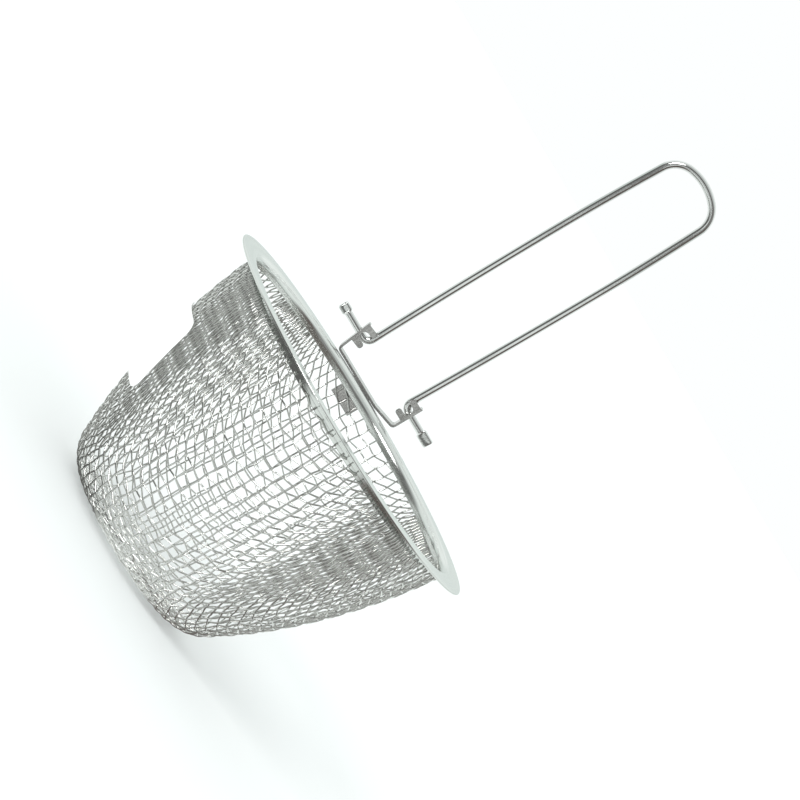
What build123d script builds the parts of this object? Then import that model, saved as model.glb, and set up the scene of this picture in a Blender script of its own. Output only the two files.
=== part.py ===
from build123d import *
import os
from math import asin, cos, degrees, hypot, radians, sin, sqrt, tan

# A wire-cloth basket strainer: a deep-drawn basket of woven wire, a flanged rim ring, a bracket
# with two notched ears outside the rim, and a wire handle that folds on its own bent ends.
# Millimetres. Z is the basket's axis, z = 0 its flat base, +X points at the bracket, and the
# handle's pins lie along Y.

# ---- rim ring -------------------------------------------------------------------------------
basket_height = 80.0         # base to the rim's top face
flange_radius = 62.5         # outer edge of the flange
collar_radius = 53.7         # inside of the collar
rim_sheet = 0.7              # sheet of the rim ring
rim_fold_radius = 2.4        # fold between flange and collar, on the upper side
collar_depth = 3.7           # rim's top face to the collar's lower edge

# ---- woven basket ---------------------------------------------------------------------------
wire_diameter = 0.5          # of the woven cloth
cloth_sheet = 2 * wire_diameter  # two wires lie over each other at every crossing
cloth_gap = 0.1              # between the cloth and the sheet it is welded to
cloth_top_drop = 2.6         # rim's top face to the cloth's cut edge
foot_radius = 33.0           # where the wall's sweep meets the base plane
wall_bulge = 3.9             # how far the wall bows out from its straight chord
base_corner_radius = 12.0    # round between wall and base

# ---- bracket --------------------------------------------------------------------------------
bracket_sheet = 0.8
weld_gap = 0.05              # between sheets that are spot-welded together
arm_width = 9.7              # tab and arm, along Y
arm_offset = 0.6             # axis to the arm's middle, towards the leaning ear
tab_drop = 7.9               # rim's top face to the tab's lower end
strip_gap = 0.4              # flange edge to the strip's front edge
arm_bend_radius = 0.75       # to the middle of the sheet
strip_width = 7.5            # strip and ears, along X
left_ear_reach = 16.4        # axis to the ear's outer face, at the pins
right_ear_reach = 15.75
ear_height = 12.9            # above the rim's top face
left_ear_lean = 6.5          # degrees outwards; the other ear stands straight
left_bend_radius = 1.0       # to the middle of the sheet
right_bend_radius = 1.2
strip_kink_reach = 6.9       # axis to where the strip starts to climb, on the right
strip_kink_climb = 10.0      # degrees
strip_kink_radius = 3.0      # to the middle of the sheet
ear_corner_radius = 2.4      # at the top of each ear, away from the basket
wing_reach = 4.6             # ear's outer face to the finger tips
finger_width = 2.1
finger_tip_radius = 0.9
notch_width = 3.3
notch_centre_height = 8.95   # above the rim's top face
notch_floor = 0.95           # ear's outer face to the bottom of the notch

# ---- handle ---------------------------------------------------------------------------------
handle_wire = 2.6            # diameter
pin_height = 8.55            # pin axis above the rim's top face
pin_clearance = 0.06         # radial, in the ears' holes
finger_clearance = 0.35      # between a leg and the fingers it leans on
pin_half_span = 26.5         # middle to the end of each swaged head
pin_bend_radius = 2.4        # to the middle of the wire
leg_half_spacing = 12.4      # at the legs' widest place
leg_widest_height = 69.65    # above the pin axis
lower_leg_bow_radius = 3100.0
upper_leg_bow_radius = 1050.0
upper_leg_rise = 39.0        # widest place to where the shoulder bend begins
shoulder_radius = 8.5        # to the middle of the wire
crown_radius = 17.4          # to the middle of the wire
head_length = 4.2            # swaged flat ends
head_height = 3.6
head_thickness = 1.7
head_taper = 1.4             # length of the run from round wire to flat head
head_corner_radius = 0.8

# ---- paper label ----------------------------------------------------------------------------
label_sheet = 0.15
label_gap = 0.15             # between the paper and the cloth's high points
label_width = 32.0
label_bottom = 30.0
label_top = 56.0
label_corner_radius = 4.0
label_azimuth = 99.0         # degrees from +X towards +Y, at the label's middle

# ---- places that follow from the sizes --------------------------------------------------------
cloth_seat_radius = collar_radius + rim_sheet + cloth_gap + cloth_sheet
collar_foot = basket_height - collar_depth
cloth_top = basket_height - cloth_top_drop
strip_front = flange_radius + strip_gap
strip_middle_z = basket_height + bracket_sheet / 2
arm_middle_z = basket_height - rim_sheet - weld_gap - bracket_sheet / 2
pin_x = strip_front + bracket_sheet + finger_clearance + handle_wire / 2
pin_z = basket_height + pin_height


def wall_circle():
    """Centre (radius, z) and radius of the arc that the wall's outer face follows.

    The arc runs from the base plane to the cloth's seat at the collar's lower edge.
    """
    run, rise = cloth_seat_radius - foot_radius, collar_foot
    chord = hypot(run, rise)
    radius = (chord**2 / 4 + wall_bulge**2) / (2 * wall_bulge)
    back = radius - wall_bulge
    return (
        foot_radius + run / 2 - back * rise / chord,
        rise / 2 + back * run / chord,
        radius,
    )


def wall_radius(z, inset=0.0):
    """Basket radius at height z, on a face that lies inset inside the outer one."""
    centre_r, centre_z, radius = wall_circle()
    return centre_r + sqrt((radius - inset) ** 2 - (z - centre_z) ** 2)


def revolved(section):
    """A solid of revolution about the basket's axis, from a section drawn in X and Z."""
    return revolve(section, Axis.Z)


def cup_section(inset, top):
    """Half section of the basket's filled shape, inset from the outer face on wall and base."""
    foot = Vector(wall_radius(inset, inset), 0, inset)
    shoulder = Vector(wall_radius(top, inset), 0, top)
    middle_z = (inset + top) / 2
    wall = ThreePointArc(foot, (wall_radius(middle_z, inset), 0, middle_z), shoulder)
    outline = Wire([
        Line((0, 0, inset), foot),
        wall,
        Line(shoulder, (0, 0, top)),
        Line((0, 0, top), (0, 0, inset)),
    ])
    face = Face(outline)
    corner = face.vertices().sort_by_distance(foot)[0]
    return face.fillet_2d(base_corner_radius - inset, [corner])


def wire_basket():
    """The woven basket as a closed shell, two wires thick, open at the top."""
    filled = revolved(cup_section(0.0, cloth_top))
    hollow = revolved(cup_section(cloth_sheet, cloth_top + cloth_sheet))
    return filled - hollow


def rim_ring():
    """Flange and collar of one sheet, with a half-round outer edge."""
    top, inside, foot = basket_height, collar_radius, collar_foot
    outside = inside + rim_sheet
    fold_x, fold_z = inside + rim_fold_radius, top - rim_fold_radius
    under_radius = rim_fold_radius - rim_sheet
    edge_x = flange_radius - rim_sheet / 2
    fold_centre = Vector(fold_x, 0, fold_z)
    diagonal = Vector(-sin(radians(45)), 0, sin(radians(45)))
    outline = Wire([
        Line((edge_x, 0, top), (fold_x, 0, top)),
        ThreePointArc(
            (fold_x, 0, top), fold_centre + diagonal * rim_fold_radius, (inside, 0, fold_z)
        ),
        Line((inside, 0, fold_z), (inside, 0, foot)),
        Line((inside, 0, foot), (outside, 0, foot)),
        Line((outside, 0, foot), (outside, 0, fold_z)),
        ThreePointArc(
            (outside, 0, fold_z),
            fold_centre + diagonal * under_radius,
            (fold_x, 0, top - rim_sheet),
        ),
        Line((fold_x, 0, top - rim_sheet), (edge_x, 0, top - rim_sheet)),
        ThreePointArc(
            (edge_x, 0, top - rim_sheet),
            (flange_radius, 0, top - rim_sheet / 2),
            (edge_x, 0, top),
        ),
    ])
    return revolved(Face(outline))


def folded_sheet(plane, points, bend_radii, width):
    """Bracket sheet folded along a path in a plane, and extruded by its width."""
    path = FilletPolyline(*points, radius=bend_radii)
    return extrude(plane * trace(path, line_width=bracket_sheet), amount=width)


def leaning_corner():
    """Y of the leaning ear's middle line where it leaves the strip."""
    climb = pin_z - strip_middle_z
    lean = radians(left_ear_lean)
    return left_ear_reach - bracket_sheet / 2 / cos(lean) - climb * tan(lean)


def ear_wing(side, reach):
    """Notched wing of one ear, upright, with its ear's outer face at side * reach."""
    low = notch_centre_height - notch_width / 2 - finger_width
    high = notch_centre_height + notch_width / 2 + finger_width
    blank = Pos(wing_reach / 2, (low + high) / 2) * Rectangle(wing_reach, high - low)
    floor = notch_floor + notch_width / 2
    notch = Pos(floor, notch_centre_height) * Circle(notch_width / 2)
    notch += Pos((floor + 2 * wing_reach) / 2, notch_centre_height) * Rectangle(
        2 * wing_reach - floor, notch_width
    )
    fingers = blank - notch
    tips = [v for v in fingers.vertices() if v.X > wing_reach - finger_tip_radius]
    fingers = fillet(tips, finger_tip_radius)
    face = Plane(
        origin=(strip_front, side * reach, basket_height),
        x_dir=(0, -side, 0),
        z_dir=(-side, 0, 0),
    )
    return extrude(face * fingers, amount=-side * bracket_sheet)


def handle_bracket():
    """Weld tab, arm, strip and the two ears with their notched wings."""
    tab_x = wall_radius(cloth_top) + cloth_gap + bracket_sheet / 2
    riser_x = strip_front + bracket_sheet / 2
    arm = folded_sheet(
        Plane(origin=(0, arm_offset + arm_width / 2, 0), x_dir=(1, 0, 0), z_dir=(0, -1, 0)),
        [
            (tab_x, basket_height - tab_drop),
            (tab_x, arm_middle_z),
            (riser_x, arm_middle_z),
            (riser_x, strip_middle_z),
            (strip_front + strip_width, strip_middle_z),
        ],
        arm_bend_radius,
        arm_width,
    )
    lean = radians(left_ear_lean)
    left_y, right_y = leaning_corner(), -(right_ear_reach - bracket_sheet / 2)
    ear_top = basket_height + ear_height
    climb = ear_top - strip_middle_z
    right_z = strip_middle_z + (-strip_kink_reach - right_y) * tan(radians(strip_kink_climb))
    cradle = folded_sheet(
        Plane(origin=(strip_front, 0, 0), x_dir=(0, 1, 0), z_dir=(1, 0, 0)),
        [
            (left_y + climb * sin(lean), strip_middle_z + climb * cos(lean)),
            (left_y, strip_middle_z),
            (-strip_kink_reach, strip_middle_z),
            (right_y, right_z),
            (right_y, ear_top),
        ],
        (left_bend_radius, strip_kink_radius, right_bend_radius),
        strip_width,
    )
    rear = strip_front + strip_width
    far_corners = [
        e
        for e in cradle.edges().filter_by(GeomType.LINE)
        if e.center().Z > ear_top - bracket_sheet
        and e.center().X > rear - bracket_sheet
        and e.length < 2 * bracket_sheet
    ]
    cradle = fillet(far_corners, ear_corner_radius)
    upright = Pos(0, left_y + bracket_sheet / 2 - left_ear_reach, 0) * ear_wing(1, left_ear_reach)
    hinge_line = Axis((0, left_y, strip_middle_z), (1, 0, 0))
    left_wing = upright.rotate(hinge_line, -left_ear_lean)
    body = arm + cradle + left_wing + ear_wing(-1, right_ear_reach)
    hole = Pos(pin_x, 0, pin_z) * Rot(90, 0, 0) * Cylinder(
        handle_wire / 2 + pin_clearance, 2 * pin_half_span
    )
    return body - hole


def handle_path():
    """Middle line of half the handle, from the crown's top to a swaged head, on the +Y side."""
    upper_lean = asin(upper_leg_rise / upper_leg_bow_radius)
    lower_lean = asin(
        (leg_widest_height - pin_bend_radius) / (lower_leg_bow_radius + pin_bend_radius)
    )
    shoulder_y = leg_half_spacing - upper_leg_bow_radius * (1 - cos(upper_lean))
    crown_turn = asin(
        (shoulder_y - shoulder_radius * cos(upper_lean)) / (crown_radius - shoulder_radius)
    )
    shoulder_rise = shoulder_radius * (cos(crown_turn) - sin(upper_lean))
    crown_rise = crown_radius * (1 - cos(crown_turn))
    top = pin_z + leg_widest_height + upper_leg_rise + shoulder_rise + crown_rise
    plane = Plane(origin=(pin_x, 0, 0), x_dir=(0, 1, 0), z_dir=(1, 0, 0))
    crown = JernArc((0, top), (1, 0), crown_radius, -degrees(crown_turn))
    shoulder = JernArc(
        crown @ 1, crown % 1, shoulder_radius, -(90 - degrees(crown_turn + upper_lean))
    )
    upper_leg = JernArc(
        shoulder @ 1, shoulder % 1, upper_leg_bow_radius, -degrees(upper_lean)
    )
    lower_leg = JernArc(
        upper_leg @ 1, upper_leg % 1, lower_leg_bow_radius, -degrees(lower_lean)
    )
    bend = JernArc(
        lower_leg @ 1, lower_leg % 1, pin_bend_radius, 90 + degrees(lower_lean)
    )
    pin = Line(bend @ 1, (pin_half_span - head_length - head_taper, (bend @ 1).Y))
    return plane * Wire([crown, shoulder, upper_leg, lower_leg, bend, pin])


def swaged_head():
    """Flattened end of the wire on the +Y side, with the run from round to flat."""
    wire_end = pin_half_span - head_length - head_taper
    flat = RectangleRounded(head_thickness, head_height, head_corner_radius)
    face = Plane(origin=(pin_x, wire_end, pin_z), x_dir=(1, 0, 0), z_dir=(0, 1, 0))
    taper = loft([face * Circle(handle_wire / 2), face.offset(head_taper) * flat])
    head = extrude(face.offset(head_taper) * flat, amount=head_length)
    end_edges = head.faces().sort_by(Axis.Y)[-1].edges()
    return taper + fillet(end_edges, head_thickness / 4)


def wire_handle():
    """Bent wire loop whose out-turned ends are the hinge pins."""
    path = handle_path()
    start = Plane(origin=path @ 0, z_dir=path % 0)
    half = sweep(start * Circle(handle_wire / 2), path=path) + swaged_head()
    return half + mirror(half, Plane.XZ)


def paper_label():
    """Blank paper label wrapped on the outside of the cloth."""
    lower, upper = label_bottom, label_top
    middle = (lower + upper) / 2

    def wrap(offset):
        return [
            Vector(wall_radius(z, -offset), 0, z) for z in (lower, middle, upper)
        ]

    inner, outer = wrap(label_gap), wrap(label_gap + label_sheet)
    section = Face(Wire([
        ThreePointArc(*inner),
        Line(inner[2], outer[2]),
        ThreePointArc(*reversed(outer)),
        Line(outer[0], inner[0]),
    ]))
    sweep_angle = 2 * degrees(asin(label_width / (2 * wall_radius(lower)))) + 10
    band = revolve(section, Axis.Z, sweep_angle)
    band = Rot(0, 0, label_azimuth - sweep_angle / 2) * band
    facing = Plane(
        origin=(0, 0, middle),
        x_dir=(-sin(radians(label_azimuth)), cos(radians(label_azimuth)), 0),
        z_dir=(cos(radians(label_azimuth)), sin(radians(label_azimuth)), 0),
    )
    outline = RectangleRounded(label_width, upper - lower, label_corner_radius)
    return band & extrude(facing * outline, amount=2 * flange_radius)


NODES = {
    "wire_basket": wire_basket,
    "rim_ring": rim_ring,
    "handle_bracket": handle_bracket,
    "wire_handle": wire_handle,
    "paper_label": paper_label,
}

os.makedirs("parts", exist_ok=True)
for name, make in NODES.items():
    shape = make()
    export_step(shape, f"parts/{name}.step")
    print(name, len(shape.solids()), round(shape.volume, 2))
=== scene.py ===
# %% [markdown]
# # A wire basket strainer with a folding wire handle
#
# The real object is a deep basket pressed from woven steel cloth, a flanged rim ring spot-welded
# round its mouth, a small folded bracket, and a bent wire handle that swings in the bracket's ears.
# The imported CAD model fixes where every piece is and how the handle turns. This script gives the
# pieces their looks: real woven wires instead of a plain shell, and steel and paper finishes.

# %% Load the frame and measure it
from math import asin, atan2, ceil, cos, hypot, pi, radians, sin, sqrt

import bpy
import numpy as np
from mathutils import Matrix, Vector


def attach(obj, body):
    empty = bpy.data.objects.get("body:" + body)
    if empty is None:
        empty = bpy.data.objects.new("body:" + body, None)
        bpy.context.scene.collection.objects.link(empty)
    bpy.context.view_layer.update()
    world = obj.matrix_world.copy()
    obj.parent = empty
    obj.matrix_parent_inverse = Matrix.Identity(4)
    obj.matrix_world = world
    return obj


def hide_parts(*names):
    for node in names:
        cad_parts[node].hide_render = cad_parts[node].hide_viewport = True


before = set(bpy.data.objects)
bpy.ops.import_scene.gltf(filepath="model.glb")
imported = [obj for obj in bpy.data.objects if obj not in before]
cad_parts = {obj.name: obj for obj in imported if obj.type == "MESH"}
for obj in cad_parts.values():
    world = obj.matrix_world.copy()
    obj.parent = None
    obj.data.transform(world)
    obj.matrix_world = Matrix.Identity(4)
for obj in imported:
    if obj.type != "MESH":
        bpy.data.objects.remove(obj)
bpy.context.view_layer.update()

# %% [markdown]
# ## Sizes
#
# Blender works in metres, and the basket's own sizes are easier to read in millimetres, so every
# size here is a number of millimetres times `MM`. They are the sizes that the CAD pieces have.

# %% Sizes of the real pieces
MM = 0.001
RIM_TOP = 80.0 * MM
COLLAR_FOOT = 76.3 * MM
CLOTH_TOP = 77.4 * MM
FOOT_RADIUS = 33.0 * MM
SEAT_RADIUS = 55.5 * MM
WALL_BULGE = 3.9 * MM
CORNER_RADIUS = 12.0 * MM
WIRE = 0.5 * MM
FLANGE_RADIUS = 62.5 * MM
COLLAR_RADIUS = 53.7 * MM
RIM_SHEET = 0.7 * MM
FOLD_RADIUS = 2.4 * MM
PIN_X, PIN_Z = 65.35 * MM, 88.55 * MM
print("rim diameter, mm:", round(2 * FLANGE_RADIUS / MM, 1))

# %% [markdown]
# ## The camera
#
# A camera is a place, a direction and a roll. The object lies on its side in the view, so the
# camera stands in front of the side away from the bracket, a little above the rim, and is rolled
# by about sixty degrees. A long lens one metre away keeps the ellipses of the rim flat. The three
# axes are worked out as vectors and put into the camera's matrix, which avoids Euler angles.

# %% Place the camera
CAMERA_AZIMUTH = radians(-4.74)
CAMERA_HEIGHT = radians(5.90)
CAMERA_ROLL = radians(59.35)
CAMERA_DISTANCE = 1.0
FRAME_SIDE = 800.0
FOCAL = 3341.7                # in units of the frame's side / 800
AIM_RIGHT, AIM_UP = 46.7, 13.6


def camera_axes():
    """Right, up and backward unit vectors of the rolled camera, and where it stands.

    The backward vector points from the rim's middle to the camera. Right and up are the upright
    camera's axes turned by the roll, and then all three lean so that the rim sits off centre.
    """
    back = Vector((
        -cos(CAMERA_HEIGHT) * cos(CAMERA_AZIMUTH),
        -cos(CAMERA_HEIGHT) * sin(CAMERA_AZIMUTH),
        sin(CAMERA_HEIGHT),
    ))
    place = Vector((0, 0, RIM_TOP)) + CAMERA_DISTANCE * back
    level = back.cross(Vector((0, 0, 1))).normalized() * -1
    climb = back.cross(level)
    right = cos(CAMERA_ROLL) * level + sin(CAMERA_ROLL) * climb
    up = cos(CAMERA_ROLL) * climb - sin(CAMERA_ROLL) * level
    aim = (-back + (AIM_RIGHT * right + AIM_UP * up) / FOCAL).normalized()
    back = -aim
    right = up.cross(back).normalized()
    up = back.cross(right)
    return right, up, back, place


right, up, back, place = camera_axes()
camera_data = bpy.data.cameras.new("camera")
camera_data.sensor_width = 36.0
camera_data.lens = FOCAL / FRAME_SIDE * camera_data.sensor_width
camera = bpy.data.objects.new("camera", camera_data)
bpy.context.scene.collection.objects.link(camera)
turn = Matrix((right, up, back)).transposed().to_4x4()
camera.matrix_world = Matrix.Translation(place) @ turn
bpy.context.scene.camera = camera
print("camera at, m:", [round(v, 3) for v in place], "lens, mm:", round(camera_data.lens, 1))

# %% [markdown]
# ## Helpers for surfaces worked out with numpy
#
# Every new piece is a grid of points or a ring carried along a path. Both come as whole arrays:
# points as rows of three numbers, faces as rows of four indices. One helper turns them into a
# mesh, and gives each corner its place on the piece's own UV map, which the finishes follow.

# %% Mesh helper
def add_piece(name, points, quads, corner_uv, caps=(), smooth=True):
    """A mesh object from arrays: points (n, 3), quads (m, 4), and a UV for every quad corner.

    caps are extra faces with any number of corners, such as the ends of a wire. Their UV is 0.
    """
    loops = np.concatenate([quads.ravel(), *[np.asarray(c) for c in caps]]).astype(np.int32)
    sizes = np.concatenate([np.full(len(quads), 4), [len(c) for c in caps]]).astype(np.int32)
    starts = np.concatenate([[0], np.cumsum(sizes)[:-1]]).astype(np.int32)
    mesh = bpy.data.meshes.new(name)
    mesh.vertices.add(len(points))
    mesh.vertices.foreach_set("co", np.asarray(points, np.float32).ravel())
    mesh.loops.add(len(loops))
    mesh.loops.foreach_set("vertex_index", loops)
    mesh.polygons.add(len(sizes))
    mesh.polygons.foreach_set("loop_start", starts)
    mesh.polygons.foreach_set("use_smooth", np.full(len(sizes), smooth))
    mesh.update(calc_edges=True)
    uv = np.zeros((len(loops), 2), np.float32)
    uv[: quads.size] = np.asarray(corner_uv, np.float32).reshape(-1, 2)
    layer = mesh.uv_layers.new(name="along")
    layer.data.foreach_set("uv", uv.ravel())
    mesh.validate()
    piece = bpy.data.objects.new(name, mesh)
    bpy.context.scene.collection.objects.link(piece)
    return piece


def grid_quads(rows, columns, close_rows=False, close_columns=False):
    """Corner indices of the quads of a grid of points, counted row by row."""
    i = np.arange(rows if close_rows else rows - 1)
    j = np.arange(columns if close_columns else columns - 1)
    i, j = (a.ravel() for a in np.meshgrid(i, j, indexing="ij"))
    i2, j2 = (i + 1) % rows, (j + 1) % columns
    return np.stack(
        [i * columns + j, i2 * columns + j, i2 * columns + j2, i * columns + j2], axis=1
    ), np.stack([i, j, i + 1, j + 1], axis=1)


print("helpers ready")

# %% [markdown]
# ## The basket's profile
#
# The cloth follows a surface of revolution: a flat base, a round corner and a wall that bows out a
# little. Half a section of its middle surface is one line of points, and the distance along that
# line from the middle of the base is a good way to name a place on it.

# %% Profile tables
def wall_arc():
    """Centre and radius of the arc that the wall's outer face follows, from chord and bulge."""
    run, rise = SEAT_RADIUS - FOOT_RADIUS, COLLAR_FOOT
    chord = hypot(run, rise)
    radius = (chord**2 / 4 + WALL_BULGE**2) / (2 * WALL_BULGE)
    reach = radius - WALL_BULGE
    return FOOT_RADIUS + run / 2 - reach * rise / chord, rise / 2 + reach * run / chord, radius


def profile_tables(inset, rows=1500, spare=12 * MM):
    """Distance, radius, height and unit slope along the middle surface, base middle to mouth.

    A straight base, an arc tangent to base and wall, the wall's own arc, and a straight run of
    spare length past the cut edge, so that wires can be worked out a little too long.
    """
    centre_r, centre_z, arc = wall_arc()
    corner_z = CORNER_RADIUS
    corner_r = centre_r + sqrt((arc - CORNER_RADIUS) ** 2 - (corner_z - centre_z) ** 2)
    meet = atan2(corner_z - centre_z, corner_r - centre_r)
    end = asin((CLOTH_TOP - centre_z) / (arc - inset))
    bend = np.linspace(-pi / 2, meet, 80)[1:]
    climb = np.linspace(meet, end, 240)[1:]
    base = np.stack([np.linspace(0, corner_r, 60), np.full(60, inset)], axis=1)
    corner = np.stack([corner_r + (CORNER_RADIUS - inset) * np.cos(bend),
                       corner_z + (CORNER_RADIUS - inset) * np.sin(bend)], axis=1)
    wall = np.stack([centre_r + (arc - inset) * np.cos(climb),
                     centre_z + (arc - inset) * np.sin(climb)], axis=1)
    slope = np.array([-sin(end), cos(end)])
    past = wall[-1] + np.linspace(0, spare, 30)[1:, None] * slope
    line = np.vstack([base, corner, wall, past])
    along = np.r_[0, np.cumsum(np.hypot(*np.diff(line, axis=0).T))]
    slopes = np.gradient(line, along, axis=0)
    even = np.linspace(0, along[-1], rows)
    table = [np.interp(even, along, c) for c in (*line.T, *slopes.T)]
    return even, table, float(np.interp(CLOTH_TOP, line[60:, 1], along[60:]))


CLOTH_STEPS, CLOTH_TABLE, CLOTH_EDGE = profile_tables(WIRE)


def on_profile(along):
    """Radius, height, and the slope's two parts at distances along the profile."""
    place = np.clip(along / CLOTH_STEPS[1], 0, len(CLOTH_STEPS) - 1.001)
    low = place.astype(int)
    part = place - low
    return [t[low] * (1 - part) + t[low + 1] * part for t in CLOTH_TABLE]


print("from the base's middle to the cut edge, mm:", round(CLOTH_EDGE / MM, 1))

# %% [markdown]
# No pressed basket is quite true. The base springs back into a shallow dome and the whole cup
# leans a little to one side of its rim. Both are small moves of finished points: the base rises
# with the square of its radius and the move fades out up the wall, and the lean grows towards the
# base. The CAD shell stays true, because its job is to carry, not to be looked at.

# %% Spring-back and lean
DOME_RISE, DOME_RADIUS = 1.3 * MM, 22.0 * MM
DOME_FADE = 26.0 * MM
LEAN = 1.0 * MM               # towards +Y at the base


def ease(value):
    """Smoothstep: 0 below 0, 1 above 1, and 3 v^2 - 2 v^3 between."""
    value = np.clip(value, 0, 1)
    return value * value * (3 - 2 * value)


def sprung(points):
    """Points moved by the dome and the lean.

    The height grows by rise (r / R)^2 fade(z), and y by lean (1 - z / top)^2.
    """
    radius = np.hypot(points[..., 0], points[..., 1])
    height = points[..., 2]
    rise = DOME_RISE * np.minimum(radius / DOME_RADIUS, 1) ** 2 * (1 - ease(height / DOME_FADE))
    lean = LEAN * np.clip(1 - height / COLLAR_FOOT, 0, 1) ** 2
    return points + np.stack([0 * height, lean, rise], axis=-1)


print("dome, mm:", round(DOME_RISE / MM, 2), "lean, mm:", round(LEAN / MM, 2))

# %% [markdown]
# ## How the cloth takes the basket's shape
#
# A press pushes a flat disc of woven wire into a cup. Steel wires hardly stretch, so the cloth
# takes up the new shape by shearing: square meshes close into narrow diamonds. Where the wires
# run straight up the wall the meshes stay square, and halfway between they are squeezed into
# long diamonds whose wires stand nearly side by side. A texture could not show this, so the net
# is worked out as it really forms. Two wires cross at the base's middle and run up the wall;
# from them each new crossing is the point one step away from its two neighbours, on the surface.
# All crossings on one diagonal of the net are found at once with Newton's method.

# %% March the net over the surface
PITCH = 3.35 * MM             # middle to middle of neighbouring wires
STEPS_PER_PITCH = 4
NEWTON_ROUNDS = 12
LONGEST_MOVE = 0.5            # of a step, in one Newton round
LEAST_TURN = 1e-3             # sine of the angle at which two wires count as parallel
CLOSE_ENOUGH = 0.02           # of a step, for a crossing that is kept


def surface_points(along, angle):
    """Points on the middle surface from distance along the profile and angle round the axis."""
    radius, height, slope_r, slope_z = on_profile(along)
    points = np.stack([radius * np.cos(angle), radius * np.sin(angle), height], axis=-1)
    return points, radius, slope_r, slope_z


def march_net():
    """Distance and angle of the crossings of one quarter of the net, as two square arrays.

    A crossing (i, j) lies where its distances to (i - 1, j) and (i, j - 1) both equal one step.
    Each Newton round moves it along the surface's two directions to close both errors.
    """
    step = PITCH / STEPS_PER_PITCH
    reach = CLOTH_EDGE + 2 * step
    n = int(ceil(reach / step)) + 1
    along, angle = np.full((n, n), np.nan), np.full((n, n), np.nan)
    along[:, 0] = along[0, :] = np.arange(n) * step
    angle[:, 0], angle[0, :] = 0.0, pi / 2
    for diagonal in range(2, 2 * n - 1):
        i = np.arange(max(1, diagonal - n + 1), min(n - 1, diagonal - 1) + 1)
        j = diagonal - i
        known = np.isfinite(along[i - 1, j] + along[i, j - 1] + along[i - 1, j - 1])
        i, j = i[known], j[known]
        side_a = surface_points(along[i - 1, j], angle[i - 1, j])[0]
        side_b = surface_points(along[i, j - 1], angle[i, j - 1])[0]
        corner = surface_points(along[i - 1, j - 1], angle[i - 1, j - 1])[0]
        guess = side_a + side_b - corner
        turn = np.arctan2(guess[:, 1], guess[:, 0])
        dist = along[i - 1, j] + along[i, j - 1] - along[i - 1, j - 1]
        for _ in range(NEWTON_ROUNDS):
            point, radius, slope_r, slope_z = surface_points(dist, turn)
            up_wall = np.stack(
                [slope_r * np.cos(turn), slope_r * np.sin(turn), slope_z], axis=-1)
            round_wall = np.stack([-np.sin(turn), np.cos(turn), 0 * turn], axis=-1)
            gap_a, gap_b = point - side_a, point - side_b
            len_a, len_b = (np.linalg.norm(g, axis=1) for g in (gap_a, gap_b))
            a, b = (gap_a * up_wall).sum(1) / len_a, (gap_a * round_wall).sum(1) / len_a
            c, d = (gap_b * up_wall).sum(1) / len_b, (gap_b * round_wall).sum(1) / len_b
            det = a * d - b * c
            least = LEAST_TURN * np.where(det < 0, -1, 1)
            det = np.where(np.abs(det) < LEAST_TURN, least, det)
            move_up = ((step - len_a) * d - (step - len_b) * b) / det
            move_round = (a * (step - len_b) - c * (step - len_a)) / det
            calm = np.maximum(1, np.hypot(move_up, move_round) / (LONGEST_MOVE * step))
            dist = np.maximum(dist + move_up / calm, 0.1 * step)
            turn = turn + move_round / calm / np.maximum(radius, 0.1 * step)
        error = np.maximum(np.abs(len_a - step), np.abs(len_b - step))
        good = (error < CLOSE_ENOUGH * step) & (along[i - 1, j - 1] < reach)
        along[i[good], j[good]], angle[i[good], j[good]] = dist[good], turn[good]
    return along, angle


quarter_along, quarter_angle = march_net()
print("crossings in a quarter of the net:", int(np.isfinite(quarter_along).sum()))

# %% [markdown]
# ## From a quarter to the whole cloth
#
# The cup has the same shape all round, so the other three quarters are mirror copies. Real cloth
# is never that even: the disc lies a few degrees off the bracket's line, and each crossing slips a
# little as the press closes. A small seeded noise at the crossings, blended smoothly along the
# wires between them, gives that hand of chance and is the same in every run.

# %% The whole net, turned and slightly uneven
CLOTH_TURN = radians(-12)
SLIP = 0.13 * MM              # how far crossings stray along the surface
SLIP_SEED = 7
SLIP_LIMIT = 2                # in standard deviations
FLAT_MIDDLE = 4 * MM          # inside this radius a sideways slip is not turned into more angle
SPREAD = 0.055                # radians by which the press spreads the wires on the straight sides
SPREAD_START, SPREAD_FULL = 25 * MM, 50 * MM
STAGGER = 0.4 * MM            # every second crossing of a wire round the wall sits this much higher
RISE = 7.0 * MM               # how far wires round the wall climb towards the squeezed places
RISE_START, RISE_FULL = 25 * MM, 95 * MM


def whole_net():
    """Index, distance and angle arrays of the full net, from the marched quarter.

    Up the wall the angle grows by spread * sin(4 * angle), which opens the meshes on the straight
    sides and closes them at the diagonals. Every second crossing is lifted by the stagger, and the
    distance grows by rise * sin(2 * angle) ** 2, because a stiff wire climbs before it turns.
    """
    n = quarter_along.shape[0]
    index = np.arange(-(n - 1), n)
    i, j = np.meshgrid(index, index, indexing="ij")
    along = quarter_along[np.abs(i), np.abs(j)]
    angle = quarter_angle[np.abs(i), np.abs(j)]
    side_y, side_x = np.where(j < 0, -1, 1), np.where(i < 0, -1, 1)
    angle = np.arctan2(side_y * np.sin(angle), side_x * np.cos(angle))
    grown = ease((np.nan_to_num(along) - SPREAD_START) / (SPREAD_FULL - SPREAD_START))
    zigzag = 1 - 2 * np.abs(np.mod(index / STEPS_PER_PITCH, 2) - 1)
    share = np.cos(angle) ** 2
    stagger = zigzag[None, :] * share + zigzag[:, None] * (1 - share)
    along = along + STAGGER * grown * np.cos(2 * angle) ** 2 * stagger
    climbed = ease((np.nan_to_num(along) - RISE_START) / (RISE_FULL - RISE_START))
    along = along + RISE * climbed * np.sin(2 * angle) ** 2
    angle = angle + SPREAD * grown * np.sin(4 * angle)
    return index, along, angle


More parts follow.
